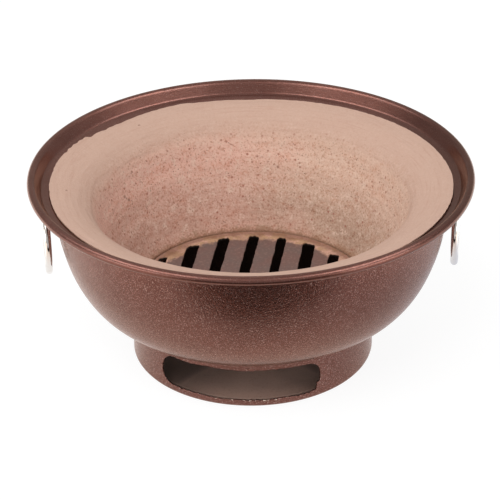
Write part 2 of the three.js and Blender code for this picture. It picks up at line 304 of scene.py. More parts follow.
def walked(line):
    """The length of a line from its start to each of its points."""
    return np.concatenate([[0.0], np.cumsum(np.linalg.norm(np.diff(line, axis=0), axis=1))])


def placed_along(line, walk, distances):
    """Points of a line at distances along it."""
    return stacked(*(np.interp(distances, walk, part) for part in line.T))


def spaced(line, step, closed=False):
    """The same line with its points about one step apart along it."""
    if closed:
        line = np.concatenate([line, line[:1]])
    walk = walked(line)
    count = max(2, int(round(walk[-1] / step)) + 1)
    points = placed_along(line, walk, np.linspace(0.0, walk[-1], count))
    return points[:-1] if closed else points


def left_normals(line):
    """Unit normals to the left of a line, from the difference of each point's neighbours."""
    along = np.gradient(line, axis=0)
    along /= np.linalg.norm(along, axis=1, keepdims=True)
    return stacked(-along[:, 1], along[:, 0])


def sheet_outline(middle, thickness):
    """Closed outline of a bent sheet: its middle line moved half a thickness to each side."""
    normals = left_normals(middle) * thickness / 2
    return np.concatenate([middle - normals, (middle + normals)[::-1]])


def turned(profile, angles):
    """A profile (radius, height) turned round Z: (r cos a, r sin a, z), one row for each angle."""
    radius, height = profile[..., 0], profile[..., 1]
    return stacked(radius * np.cos(angles[:, None]), radius * np.sin(angles[:, None]), height)


def around(count):
    """Evenly spaced angles of one turn, from 0."""
    return np.linspace(0.0, 2 * math.pi, count, endpoint=False)


def faded(value, zero, one):
    """0 where a value is at zero, 1 where it is at one, and straight between."""
    return np.clip((value - zero) / (one - zero), 0, 1)


def wander(seed, *parameters, waves=7, finest=9):
    """Smooth noise between about -1 and 1: a sum of sines of whole numbers times the parameters."""
    rng = np.random.default_rng(seed)
    total = 0.0
    for _ in range(waves):
        turns = rng.integers(-finest, finest + 1, len(parameters))
        total = total + np.sin(sum(t * p for t, p in zip(turns, parameters)) + rng.uniform(0, 2 * math.pi))
    return total / math.sqrt(waves)


def skin(points, wrap_rows=False, wrap_columns=False, keep=None):
    """A grid of points as (points, quads). keep is a mask of the cells that exist."""
    rows, columns = points.shape[:2]
    index = np.arange(rows * columns).reshape(rows, columns)
    if wrap_rows:
        index = np.concatenate([index, index[:1]], axis=0)
    if wrap_columns:
        index = np.concatenate([index, index[:, :1]], axis=1)
    quads = stacked(index[:-1, :-1], index[1:, :-1], index[1:, 1:], index[:-1, 1:])
    return points.reshape(-1, 3), quads.reshape(-1, 4) if keep is None else quads[keep]


def joined(*skins):
    """Several (points, quads) as one."""
    starts = np.cumsum([0] + [len(points) for points, _ in skins[:-1]])
    quads = np.concatenate([quads + start for (_, quads), start in zip(skins, starts)])
    return np.concatenate([points for points, _ in skins]), quads


def welded(points, quads, near=1e-6):
    """The same skin with points that lie together made one."""
    keys = np.round(points / near).astype(np.int64)
    _, first, group = np.unique(keys, axis=0, return_index=True, return_inverse=True)
    return points[first], group.reshape(-1)[quads]


def thickened(points, quads, inner):
    """A skin and its inner copy, closed by a wall of quads along every open edge."""
    count = len(points)
    edges = np.concatenate([quads[:, [i, (i + 1) % 4]] for i in range(4)])
    edges = edges[edges[:, 0] != edges[:, 1]]
    forward = edges[:, 0] * count + edges[:, 1]
    backward = edges[:, 1] * count + edges[:, 0]
    a, b = edges[~np.isin(forward, backward)].T
    walls = stacked(a, a + count, b + count, b)
    return np.concatenate([points, inner]), np.concatenate([quads, quads[:, ::-1] + count, walls])


def mesh_of(name, points, quads):
    """A Blender mesh from points and quads. A quad whose corners fall together is a triangle."""
    points, quads = welded(points, quads)
    used = quads != np.roll(quads, -1, axis=1)
    sizes = used.sum(axis=1)
    used[sizes < 3] = False
    sizes = sizes[sizes >= 3]
    mesh = bpy.data.meshes.new(name)
    mesh.vertices.add(len(points))
    mesh.vertices.foreach_set("co", points.astype(np.float32).ravel())
    mesh.loops.add(int(sizes.sum()))
    mesh.loops.foreach_set("vertex_index", quads[used].astype(np.int32))
    mesh.polygons.add(len(sizes))
    mesh.polygons.foreach_set("loop_start", np.concatenate([[0], np.cumsum(sizes)[:-1]]).astype(np.int32))
    mesh.update(calc_edges=True)
    mesh.validate()
    return mesh


def add_piece(name, shape, body, node, material, sharp=math.radians(40)):
    """Links a piece that stands for a node, rides on a body and wears the given finish."""
    mesh = mesh_of(name, *shape)
    mesh.shade_smooth()
    mesh.set_sharp_from_angle(angle=sharp)
    mesh.materials.append(material)
    piece = bpy.data.objects.new(name, mesh)
    bpy.context.scene.collection.objects.link(piece)
    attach(piece, body)
    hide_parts(node)
    return piece


def attribute_of(items, name, width=1, kind=np.int32):
    """One attribute of all of a mesh's points, edges, faces or corners, as an array."""
    values = np.empty(len(items) * width, kind)
    items.foreach_get(name, values)
    return values


def weigh_cut_edges(mesh, low):
    """Bevel weight 1 where just one of an edge's two faces is a cut face, that stands on the
    underside at a height and doesn't lie in it."""
    heights = attribute_of(mesh.vertices, "co", 3, np.float32)[2::3]
    starts = attribute_of(mesh.polygons, "loop_start")
    sizes = np.diff(np.append(starts, len(mesh.loops)))
    on_underside = heights[attribute_of(mesh.loops, "vertex_index")] < low + 0.1 * MM
    share_low = np.add.reduceat(on_underside.astype(float), starts) / sizes
    cut = np.repeat((share_low > 0) & (share_low < 1), sizes)
    weights = np.bincount(attribute_of(mesh.loops, "edge_index"), cut, len(mesh.edges)) == 1
    attribute = mesh.attributes.new("bevel_weight_edge", "FLOAT", "EDGE")
    attribute.data.foreach_set("value", weights.astype(np.float32))


def round_edges(piece, width, limit="ANGLE"):
    """A narrow bevel on the sharp edges of a piece, or on those that have a weight."""
    modifier = piece.modifiers.new("Arris", "BEVEL")
    modifier.width = width
    modifier.segments = 2
    modifier.limit_method = limit
    modifier.angle_limit = math.radians(50)
    modifier.use_clamp_overlap = False
    modifier.harden_normals = False


# ---- shapes


def bowl_levels(bowl):
    """The bowl's main points: the floor's middle line, the wall, the ridge, the throat and the bead."""
    floor = FOOT_TOP.z + bowl.foot_gap + bowl.sheet / 2
    wall = bowl.rim_radius - bowl.wall_inset
    ridge = np.array([bowl.rim_radius - bowl.ridge_inset, bowl.height - bowl.ridge_drop])
    throat_x = wall + bowl.throat_radius
    ledge_at_throat = ridge[1] + (throat_x - ridge[0]) * math.tan(bowl.ledge_slope)
    throat = np.array([throat_x, ledge_at_throat - bowl.throat_radius / math.cos(bowl.ledge_slope)])
    bead = np.array([bowl.rim_radius - bowl.bead_radius, bowl.height - bowl.bead_radius])
    return floor, wall, ridge, throat, bead


def wall_line(bowl):
    """Middle line of the wall: a quarter ellipse from the flat bottom to the throat."""
    floor, wall, _, throat, _ = bowl_levels(bowl)
    radii = (wall - bowl.flat_radius, throat[1] - floor)
    return arc((bowl.flat_radius, throat[1]), radii, -QUARTER, 0.0, 90)


def throat_line(bowl):
    """Middle line of the throat: an arc from the wall to the ledge's slope."""
    throat = bowl_levels(bowl)[3]
    return arc(throat, (bowl.throat_radius, bowl.throat_radius), math.pi, QUARTER + bowl.ledge_slope, 10)


def shell_middle(bowl):
    """Middle line of the sheet: flat bottom, elliptical wall, throat bend, ledge, ridge bend, a
    steep wall that meets the bead as a tangent, and the bead curled outwards and under."""
    floor, _, ridge, _, bead = bowl_levels(bowl)
    curl = bowl.bead_radius - bowl.sheet / 2
    reach = bead - ridge
    climb = math.atan2(reach[1], reach[0]) + math.asin(curl / np.linalg.norm(reach))
    curled = arc(bead, (curl, curl), climb + QUARTER, bowl.bead_end, 40)
    throat = throat_line(bowl)
    ridge_arc = bend(throat[-1], ridge, curled[0], bowl.ridge_bend)
    lines = [[[bowl.hole_radius, floor]], wall_line(bowl), throat[1:], ridge_arc, curled]
    return spaced(np.concatenate(lines), 0.9 * MM)


def bowl_shell(bowl):
    """The sheet's outline turned round Z. The wall wanders outwards by smooth noise that fades
    out at the flat bottom and at the rim."""
    outline = spaced(sheet_outline(shell_middle(bowl), bowl.sheet), 1.0 * MM, closed=True)
    angles = around(BOWL_STEPS)
    rise = faded(outline[:, 1], FOOT_TOP.z, bowl.height)
    fade = np.sin(math.pi * rise) ** 2
    drift = bowl.uneven * fade * wander(3, angles[:, None], 4 * rise[None, :], finest=6)
    return skin(turned(outline + stacked(drift, 0.0), angles), True, True)


def bezier(p0, p1, p2, p3, steps):
    """Cubic Bezier curve: the four points weighted by (1-t)^3, 3(1-t)^2 t, 3(1-t) t^2 and t^3."""
    t = np.linspace(0, 1, steps + 1)[:, None]
    return (1 - t) ** 3 * p0 + 3 * (1 - t) ** 2 * t * p1 + 3 * (1 - t) * t**2 * p2 + t**3 * p3


def clay_lines(bowl, clay):
    """The clay's back, that lies along the steel, and its face: a shoulder that dips to the lip, a
    bowl-shaped cavity and the straight well round the grate."""
    ridge = bowl_levels(bowl)[2]
    edge_radius = bowl.rim_radius - clay.edge_inset
    ledge = [edge_radius, ridge[1] + (edge_radius - ridge[0]) * math.tan(bowl.ledge_slope)]
    middle = np.concatenate([wall_line(bowl), throat_line(bowl)[1:], [ledge]])
    back = middle + left_normals(middle) * (bowl.sheet / 2 + clay.gap)
    top = back[-1] + np.array([0, clay.edge_thickness])
    lip = np.array([edge_radius - clay.top_width, bowl.height - clay.lip_drop])
    fall = np.array([-math.cos(clay.lip_slope), -math.sin(clay.lip_slope)])
    well = GRATE_HIGH.x + clay.well_clearance
    well_top = np.array([well, GRATE_HIGH.z + clay.well_rise])
    # the handles of both curves, as shares of the shoulder's width and of the cavity's size
    width, drop = clay.top_width, lip[1] - well_top[1]
    from_edge, into_lip = np.array([-0.4, -0.07]) * width, fall * 0.36 * width
    from_lip, above_well = fall * 0.14 * drop, np.array([(lip[0] - well) * 0.6, drop * 0.36])
    shoulder = bezier(top, top + from_edge, lip - into_lip, lip, 40)
    cavity = bezier(lip, lip + from_lip, well_top + above_well, well_top, 90)
    return back, np.concatenate([shoulder, cavity[1:], [[well, GRATE_LOW.z]]])


def clay_edge(clay, angles):
    """How far the clay stops short of its full edge: most at the back, with a step at the back
    left where a thicker smear begins, and rough all the way round, most of all at that step."""
    degrees = np.degrees(angles) % 360
    broad = np.interp(degrees, SHORT_AT, SHORT_BY) * clay.edge_short
    step_at, step_width = 149, 10
    torn = np.exp(-(((degrees - step_at) / step_width) ** 2))
    rough = wander(13, angles, waves=30, finest=150) + 0.8 * wander(14, angles, waves=9, finest=30)
    return broad + clay.ragged * (0.3 + 1.2 * torn) * (rough + 0.8)


def clay_liner(bowl, clay):
    """The closed outline turned round Z. The face wanders by smooth noise along the outline's own
    normal. Where the clay stops short, its back ends earlier along the steel, and the shoulder's
    outer part moves with that end."""
    back, face = clay_lines(bowl, clay)
    back, face = spaced(back, 2.0 * MM), spaced(face, 1.1 * MM)
    angles = around(CLAY_STEPS)
    turns, along = angles[:, None], np.linspace(0, 1, len(face))[None, :]
    broad = wander(11, turns, 2 * math.pi * along, finest=5)
    fine = wander(12, turns, 2 * math.pi * along, waves=14, finest=24)
    calm = faded(along, 1, 0.94) * faded(along, 0, 0.03)
    drift = clay.uneven * calm * (0.7 * broad + 0.3 * fine)
    walk = walked(back)
    reached = walk[None, :] * (1 - clay_edge(clay, angles)[:, None] / walk[-1])
    spare = 2 * MM
    onward = back[-1] + spare * (back[-1] - back[-2]) / (walk[-1] - walk[-2])
    rear = placed_along(np.vstack([back, onward]), np.append(walk, walk[-1] + spare), reached)
    pulled = (rear[:, -1] - back[-1])[:, None] * np.exp(-((along / 0.07) ** 2))[..., None]
    moved = face[None] + left_normals(face)[None] * drift[..., None] + pulled
    return skin(turned(np.concatenate([rear, moved], axis=1), angles), True, True)


def grate_columns(grate):
    """Where the lines across the plate lie, how far the slots reach to the back and to the front
    there, and which slot each line belongs to. Slot ends are rounded by a fourth power and slope a
    little, the first slot reaches further to the back, and between slots the reach runs on."""
    steps = -np.cos(np.linspace(0, math.pi, 15))
    rounded = np.sqrt(np.clip(1 - steps**4, 0, 1))
    middle = (len(grate.slot_widths) - 1) / 2
    slots = []
    cuts = zip(grate.slot_widths, grate.slot_shifts, grate.slot_slants, grate.slot_extras)
    for number, (width, shift, slant, extra) in enumerate(cuts):
        centre = (number - middle) * grate.slot_pitch + shift
        end = width / 2
        reach = math.sqrt(grate.slot_circle**2 - centre**2) - end + end * rounded
        tip = slant * steps / 2
        slots.append(stacked(centre + end * steps, reach + tip + extra, reach - tip, number))
    parts = [rim_columns(slots[0][0], grate.radius, -1)]
    t = np.linspace(0, 1, 14)[1:-1, None]
    for here, after in zip(slots, slots[1:]):
        bar = here[-1] * (1 - t) + after[0] * t
        bar[:, 3] = NO_SLOT
        parts += [here, bar]
    return np.concatenate([*parts, slots[-1], rim_columns(slots[-1][-1], grate.radius, 1)[::-1]]).T


def rim_columns(edge, radius, side):
    """Lines from the plate's side to the nearest slot, closer together at the side. The first one
    is 2 degrees from the side, so that no cell is a sliver."""
    angle_there = math.acos(abs(edge[0]) / radius)
    a = np.linspace(math.radians(2), angle_there, 10)[:-1]
    share_there = np.sin(a) / math.sin(angle_there)
    return stacked(side * radius * np.cos(a), edge[1] * share_there, edge[2] * share_there, NO_SLOT)


def grate_plate(grate):
    """A grid over the disc: lines across at the slots' edges, and along each line rows from the
    rim to the slot's end, along the slot and on to the rim. The outermost lines are laid on the
    rim's circle. Cells inside a slot are left out. The cut edges wander, and clay slip thickens
    the border by a rough, soft-edged ring."""
    places, back, front, slot = grate_columns(grate)
    limit = np.sqrt(np.clip(grate.radius**2 - places**2, 0, None))[:, None]
    back, front = back[:, None], front[:, None]
    caps, run = np.linspace(0, 1, 12), np.linspace(0, 1, 81)
    low = -limit * (1 - caps) - front * caps
    high = back * (1 - caps) + limit * caps
    rows = np.concatenate([low[:, :-1], -front * (1 - run) + back * run, high[:, 1:]], axis=1)
    across = np.repeat(places[:, None], rows.shape[1], axis=1)
    across[[0, -1]] = np.sqrt(grate.radius**2 - rows[[0, -1]] ** 2) * np.array([[-1], [1]])
    calm = faded(np.hypot(across, rows), grate.radius, grate.radius - 5 * MM)
    # the factors are radians per metre: the larger one is, the closer the waves lie
    waves = wander(21, across * 300, rows * 110, waves=9, finest=3)
    burrs = wander(22, across * 500, rows * 420, waves=9, finest=3)
    across = across + grate.ragged * calm * (0.5 * waves + 0.5 * burrs)
    ends = faded(np.minimum(np.abs(rows - back), np.abs(rows + front)), 4 * MM, 0) * calm
    rows = rows + 2.0 * grate.ragged * ends * wander(23, across * 900, np.sign(rows), finest=2)
    radius, turn = np.hypot(across, rows), np.arctan2(rows, across)
    border = grate.radius - grate.slip_width * (1 + 0.22 * wander(24, turn, finest=11))
    slip = faded(radius, border, border + 3 * MM)
    slip = slip * slip * (3 - 2 * slip)
    lumps = 0.75 + 0.25 * wander(25, turn, radius * 900, waves=16, finest=9)
    top = GRATE_HIGH.z - grate.slip_height * (1 - slip * np.clip(lumps, 0, 1))
    c, s = math.cos(-grate.slot_turn), math.sin(-grate.slot_turn)
    points = stacked(across * c - rows * s, across * s + rows * c, top)
    inside = (slot[:-1] != NO_SLOT) & (slot[:-1] == slot[1:])
    cell = np.arange(rows.shape[1] - 1)
    along_slot = (cell >= len(caps) - 1) & (cell < len(caps) + len(run) - 2)
    points, quads = welded(*skin(points, keep=~(inside[:, None] & along_slot[None, :])))
    return thickened(points, quads, stacked(points[:, 0], points[:, 1], GRATE_LOW.z))


def foot_profile(foot):
    """Outside of the ring: bottom flange, bend, tapered wall, bend and top flange."""
    r0, r1, b, top = foot.bottom_radius, foot.top_radius, foot.bend, FOOT_TOP.z
    low = arc((r0 - b, b), (b, b), -QUARTER, 0, 8)
    high = arc((r1 - b, top - b), (b, b), 0, QUARTER, 8)
    wall = np.linspace(low[-1], high[0], 34)[1:-1]
    return np.concatenate([[[r0 - foot.flange, 0]], low, wall, high, [[r1 - foot.flange, top]]])


def vent_outline(foot, counts):
    """The vent on the unrolled wall, anticlockwise from its lower left, as one side for each count
    from the middle of one rounded corner to the middle of the next. The upper edge is crowned, the
    cut edge wanders, and a step is left standing at the lower right."""
    half = foot.vent_span / 2 * foot.bottom_radius
    low, high = foot.vent_sill, foot.vent_sill + foot.vent_height
    rounds = []
    for number, radius in enumerate(foot.vent_corners):
        x = half - radius if number in (1, 2) else radius - half
        y = low + radius if number < 2 else high - radius
        start = math.pi + number * QUARTER
        rounds.append(arc((x, y), (radius, radius), start, start + QUARTER, 16))
    sides = []
    for i, count in enumerate(counts):
        side = np.concatenate([rounds[i][8:], rounds[(i + 1) % 4][:9]])
        sides.append(spaced(side, walked(side)[-1] / count)[:-1])
    line = np.concatenate(sides)
    size = 8 * MM
    notch = faded(line[:, 1], low + size, low + size - 1.5 * MM) * (line[:, 0] > half - size)
    line[:, 0] -= foot.vent_notch * notch
    line[:, 1] += foot.vent_crown * (1 - (line[:, 0] / half) ** 2) * (line[:, 1] > (low + high) / 2)
    turn = around(len(line))
    rough = 0.8 * wander(31, turn, waves=9, finest=12) + 0.7 * wander(32, turn, waves=24, finest=90)
    tangent = np.roll(line, -1, axis=0) - np.roll(line, 1, axis=0)
    tangent /= np.linalg.norm(tangent, axis=1, keepdims=True)
    outwards = stacked(tangent[:, 1], -tangent[:, 0])
    return line + outwards * foot.ragged * 0.8 * rough[:, None]


def foot_ring(foot):
    """The profile turned round Z with a window in the wall. Round the window, rings of points
    run from its straight edge to the vent's outline, so the vent is cut on a smooth wall."""
    profile = foot_profile(foot)
    height = profile[:, 1]
    middle = -QUARTER - foot.vent_turn
    angles = middle + around(FOOT_STEPS) - math.pi
    clear = foot.bend * 0.99
    shown = np.where((height > clear) & (height < FOOT_TOP.z - clear))[0]
    beside_vent = 9 * MM
    margin = foot.vent_span / 2 + beside_vent / foot.bottom_radius
    inside = np.where(np.abs(angles - middle) <= margin)[0]
    keep = np.ones((FOOT_STEPS, len(profile) - 1), bool)
    keep[inside[0] : inside[-1], shown[0] : shown[-1]] = False
    ring = skin(turned(profile, angles), wrap_rows=True, keep=keep)
    across, up = (angles[inside] - middle) * foot.bottom_radius, height[shown]
    window = [
        stacked(across[:-1], up[0]),
        stacked(across[-1], up[:-1]),
        stacked(across[:0:-1], up[-1]),
        stacked(across[0], up[:0:-1]),
    ]
    outline = vent_outline(foot, [len(across) - 1, len(up) - 1] * 2)
    t = np.linspace(0, 1, 9)[:, None, None] ** 0.8
    flat = np.concatenate(window) * (1 - t) + outline * t
    radius = np.interp(flat[..., 1], up, profile[shown, 0])
    a = middle + flat[..., 0] / foot.bottom_radius
    patch = stacked(radius * np.cos(a), radius * np.sin(a), flat[..., 1])
    points, quads = welded(*joined(ring, skin(patch[::-1], wrap_columns=True)), near=2e-6)
    return thickened(points, quads, foot_inside(points, foot))


def foot_inside(points, foot):
    """Each outside point moved inwards by the sheet: towards the bend's centre at the bends, and
    straight in or towards the sheet's far side elsewhere."""
    radius, height = np.hypot(points[:, 0], points[:, 1]), points[:, 2]
    profile = foot_profile(foot)
    inner = profile + left_normals(profile) * foot.sheet
    walk = walked(profile)
    flat = foot.bend * 0.02
    on_flange_low = (height < flat) & (radius < foot.bottom_radius - foot.bend)
    on_flange_high = (height > FOOT_TOP.z - flat) & (radius < foot.top_radius - foot.bend)
    along = np.interp(height, profile[1:-1, 1], walk[1:-1])
    along = np.where(on_flange_low, walk[1] - (profile[1, 0] - radius), along)
    along = np.where(on_flange_high, walk[-2] + (profile[-2, 0] - radius), along)
    new_radius, new_height = placed_along(inner, walk, along).T
    return stacked(points[:, 0] * new_radius / radius, points[:, 1] * new_radius / radius, new_height)


def ash_floor(tray):
    """A shallow tray: the floor's and lip's outline turned round Z, with a floor that dips."""
    half = tray.sheet / 2
    low, radius = TRAY_LOW.z, TRAY_HIGH.x
    corner = (radius - half - tray.bend, low + half + tray.bend)
    curve = arc(corner, (tray.bend, tray.bend), -QUARTER, 0, 8)
    line = np.concatenate([[[0.5 * MM, low + half]], curve, [[radius - half, TRAY_HIGH.z]]])
    outline = sheet_outline(spaced(line, 1.5 * MM), tray.sheet)
    outline = np.concatenate([[[0, low]], outline, [[0, low + tray.sheet]]])
    angles = around(TRAY_STEPS)
    points = turned(outline, angles)
    share_out = np.clip(outline[:, 0] / radius, 0, 1)
    upper = outline[:, 1] > low + half
    fade = np.where(upper, faded(share_out, 0.92, 0.72), 0) * np.minimum(share_out * 8, 1)
    dips = wander(41, angles[:, None], 5 * share_out[None, :], finest=4)
    points[..., 2] += tray.uneven * fade * dips
    return skin(points, wrap_rows=True)


def torus(radius, wire, steps):
    """A circle of the wire's radius carried round a larger circle: the turn on the larger circle,
    the distance from its middle, radius + wire cos v, and the offset from its plane, wire sin v."""
    u, v = np.meshgrid(around(steps[0]), around(steps[1]), indexing="ij")
    return u, radius + wire * np.cos(v), wire * np.sin(v)


def ring_handle(handles, side, yaw):
    """A torus that hangs in its eye, turned by its yaw."""
    wire = handles.ring_wire / 2
    radius = handles.ring_diameter / 2 - wire
    _, middle, height = eye_place(handles)
    hinge = height - (handles.eye_slack - handles.seat_gap)
    u, out, thick = torus(radius, wire, (200, 28))
    along = out * np.sin(u)
    c, s = math.cos(-side * yaw), math.sin(-side * yaw)
    x = side * middle + thick * c - along * s
    points = stacked(x, thick * s + along * c, hinge - radius + out * np.cos(u))
    return skin(points[:, ::-1], True, True)


def eye_place(handles):
    """The eye's outer radius, and its middle's distance from the axis and height, read from the
    packed eye bolt."""
    outer = handles.ring_wire / 2 + handles.eye_slack + handles.eye_wire
    return outer, EYE_HIGH.x - outer, (EYE_LOW.z + EYE_HIGH.z) / 2


def spun_along_x(x, radius, turns, side, height):
    """Distances along X with a radius each, turned round a line along X at a height."""
    return stacked(side * x, side * radius * np.cos(turns), height + radius * np.sin(turns))


def eye_bolt(handles, side):
    """A wire eye, a round collar with a rounded edge, and a chamfered shank whose radius follows the
    thread: the groove is deepest where (distance / pitch + angle / turn) is near a whole number."""
    outer, centre, height = eye_place(handles)
    collar_end = centre - outer + handles.eye_sunk
    collar_start = collar_end - handles.collar_thickness
    wire = handles.eye_wire / 2
    u, out, thick = torus(outer - wire, wire, (72, 24))
    eye = stacked(side * (centre + out * np.cos(u)), side * thick, height + out * np.sin(u))
    edge, full = handles.collar_edge, handles.collar_radius
    rim = arc((collar_end - edge, full - edge), (edge, edge), QUARTER, 0, 5)
    collar = np.concatenate([[[collar_start, 0], [collar_start, full]], rim, [[collar_end, 0]]]).T
    tip = EYE_LOW.x
    x = np.linspace(tip, collar_start + 0.2 * MM, 90)
    turns = around(48)[:, None]
    phase = (x / handles.thread_pitch + turns / (2 * math.pi)) % 1.0
    groove = handles.thread_depth * np.abs(2 * phase - 1)
    radius = (handles.shank_diameter / 2 - groove) * np.clip((x - tip) / handles.point, 0.6, 1)
    x = np.concatenate([[tip], x, [x[-1]]])
    radius = np.pad(radius, ((0, 0), (1, 1)))
    return joined(
        skin(eye[:, ::-1], True, True),
        skin(spun_along_x(*collar, around(64)[:, None], side, height), wrap_rows=True),
        skin(spun_along_x(x, radius, turns, side, height), wrap_rows=True),
    )


def eye_nut(handles, side):
    """A hexagon of radius flats / 2 / cos(angle from the nearest flat's middle), chamfered at both
    ends by a cone, with a bore."""
    turns = around(72)[:, None]
    sixth = math.pi / 3
    hexagon = handles.nut_flats / 2 / np.cos((turns + sixth / 2) % sixth - sixth / 2)
    low, high, chamfer = NUT_LOW.x, NUT_HIGH.x, handles.nut_chamfer
    bore = handles.shank_diameter / 2 + handles.seat_gap + 0 * turns
    face = np.minimum(hexagon, handles.nut_flats / 2)
    radius = np.concatenate([bore, face, hexagon, hexagon, face, bore], axis=1)
    x = np.array([low, low, low + chamfer, high - chamfer, high, high])
    return skin(spun_along_x(x, radius, turns, side, (NUT_LOW.z + NUT_HIGH.z) / 2), True, True)


# ---- shader nodes


class Output:
    """One output of a shader node. Arithmetic on it puts math nodes in its tree."""

    def __init__(self, socket):
        self.socket = socket
        self.tree = socket.id_data

    def other(self, name):
        """Another output of the same node."""
        return Output(self.socket.node.outputs[name])

    def math(self, operation, other=0.0):
        return add(self.tree, "Math", {0: self, 1: other}, operation=operation)

    def __add__(self, other):
        return self.math("ADD", other)

    def __mul__(self, other):
        return self.math("MULTIPLY", other)

    def __neg__(self):
        return self * -1.0

    def __abs__(self):
        return self.math("ABSOLUTE")

    def ramp(self, low, high, start=0.0, end=1.0):
        """This value from low to high, mapped smoothly to start and end."""
        inputs = {"Value": self, "From Min": low, "From Max": high, "To Min": start, "To Max": end}
        return add(self.tree, "MapRange", inputs, interpolation_type="SMOOTHSTEP")

    def plateau(self, rise, full, fall, gone):
        """0 up to rise, 1 from full to fall and 0 again from gone."""
        return self.ramp(rise, full) * self.ramp(gone, fall)

    def split(self):
        """The three parts of a place or a colour."""
        first = add(self.tree, "SeparateXYZ", {0: self})
        return first, first.other("Y"), first.other("Z")


def add(tree, kind, inputs=None, output=0, **options):
    """Puts in a shader node with its options set and gives one of its outputs. An input is another
    node's output to link or a plain value."""
    node = tree.nodes.new("ShaderNode" + kind)
    for option, value in options.items():
        setattr(node, option, value)
    for name, value in (inputs or {}).items():
        if isinstance(value, Output):
            tree.links.new(value.socket, node.inputs[name])
        else:
            node.inputs[name].default_value = value
    return Output(node.outputs[output]) if node.outputs else None


def new_material(name):
    """A new material without a surface, and its Object coordinates."""
    material = bpy.data.materials.new(name)
    material.use_nodes = True
    material.node_tree.nodes.clear()
    return material, add(material.node_tree, "TexCoord", output="Object")


def rgba(tone):
    """A colour for a socket. An output is left as it is."""
    return tone if isinstance(tone, Output) else (*tone, 1.0)


def mix(factor, a, b, blend="MIX"):
    """Colour a towards colour b by a factor."""
    inputs = {0: factor, MIX_A: rgba(a), MIX_B: rgba(b)}
    return add(factor.tree, "Mix", inputs, MIX_RESULT, data_type="RGBA", blend_type=blend)


def layered(base, *layers):
    """A colour under layers of (how much, colour), each over the last. A third word is a blend."""
    for layer in layers:
        base = mix(layer[0], base, *layer[1:])
    return base


def largest(first, *others):
    """The largest of several outputs at each place."""
    for other in others:
        first = first.math("MAXIMUM", other)
    return first


def noise(place, size, detail=3.0, roughness=0.55):
    """Noise whose largest marks are about size metres across."""
    inputs = {"Vector": place, "Scale": 1 / size, "Detail": detail, "Roughness": roughness}
    return add(place.tree, "TexNoise", inputs, "Fac")


def cells(place, size, smoothness=None):
    """The distance from the middle of the nearest cell, with cells about size metres across. With a
    smoothness, each cell runs into the next."""
    inputs, options = {"Vector": place, "Scale": 1 / size}, {}
    if smoothness is not None:
        inputs["Smoothness"], options["feature"] = smoothness, "SMOOTH_F1"
    return add(place.tree, "TexVoronoi", inputs, "Distance", **options)


def grains(place, size, edge, core, channel, least, strength=1.0):
    """Round spots, one in each cell: nothing at the distance edge from its middle, full at core. The
    cell's own random colour says how strong a spot is: nothing up to least in one channel."""
    spots = cells(place, size)
    luck = spots.other("Color").split()[channel]
    return spots.ramp(edge, core) * luck.ramp(least, 0.9, 0.0, strength)


def from_axis(x, y):
    """Distance from the Z axis."""
    return (x * x + y * y).math("SQRT")


def show(tree, shader):
    """Puts a shader on the material's surface."""
    add(tree, "OutputMaterial", {"Surface": shader})


def finish_surface(base, relief, depth, inputs):
    """A Principled surface with a colour, a bump from a relief and its own values."""
    normal = add(base.tree, "Bump", {"Height": relief, "Distance": depth})
    inputs = {"Base Color": base, "Normal": normal, **inputs}
    show(base.tree, add(base.tree, "BsdfPrincipled", inputs))


# ---- finishes


def hammered_enamel(finish, name, foot=None):
    """Metallic brown enamel under a thin glossy top. Smooth cells give the hammered dimples, with
    a finer grain of flakes, and both fade towards the rim."""
    material, place = new_material(name)
    z = place.split()[2]
    grain = finish.hammer_grain
    dimples = cells(place, grain, smoothness=0.6)
    flakes = noise(place, grain, 2.0)
    hammered = z.ramp(finish.fade_high, finish.fade_low, 0.3, 1.0)
    base = layered(
        finish.enamel,
        (noise(place, 22 * MM).ramp(0.3, 0.7, 0.0, 0.4), finish.enamel_deep),
        (dimples.ramp(0.25, 0.6, 0.0, 0.7) * hammered, finish.enamel_deep),
        (noise(place, grain * 0.75, 1.0).ramp(0.56, 0.70, 0.0, 0.48) * hammered, finish.enamel_fleck),
    )
    base = shaded_and_worn_foot(base, place, finish, foot) if foot else shaded_rim_sides(base, place, finish)
    inputs = {
        "Metallic": 0.9,
        "Roughness": z.ramp(finish.fade_low, finish.fade_high, 0.25, 0.28),
        "Specular Tint": rgba((0.98, 0.78, 0.68)),
        "Coat Weight": 0.36,
        "Coat Roughness": 0.15,
        "Coat Tint": rgba((1.0, 0.96, 0.93)),
    }
    finish_surface(base, (dimples * -0.3 + flakes) * hammered, finish.hammer_depth, inputs)
    return material


def shaded_rim_sides(base, place, finish):
    """Painted shade: the enamel is darkened on the rim at both sides, most at the right."""
    x, _, z = place.split()
    # painted shade: thick is the mask where the rim's sides are darkened
    thick = largest(x.ramp(0.08, 0.14), x.ramp(-0.07, -0.12, 0.0, 0.25))
    return mix(thick * z.ramp(finish.fade_low, finish.fade_high), base, (0.62, 0.58, 0.56), "MULTIPLY")


def shaded_and_worn_foot(base, place, finish, foot):
    """Painted shade darkens the foot ring's inside, and specks of bare steel lie along the vent's lower
    edge.
    """
    x, y, z = place.split()
    outside = foot.bottom_radius - foot.sheet / 2
    depth = z * ((foot.bottom_radius - foot.top_radius) / FOOT_TOP.z) + from_axis(x, y)
    sill = foot.vent_sill
    edge = z.plateau(sill - 1.2 * MM, sill - 0.5 * MM, sill + 0.4 * MM, sill + 1.0 * MM)
    ahead = largest(abs(x + 3 * MM), y).ramp(30 * MM, 24 * MM)
    specks = noise(place, 2.2 * MM, 1.0).ramp(0.62, 0.66)
    # painted shade over the whole inside of the ring
    shade_mask = depth.ramp(outside, outside - 0.2 * MM)
    return layered(base, (shade_mask, finish.painted_shade), (edge * ahead * specks, finish.bare))


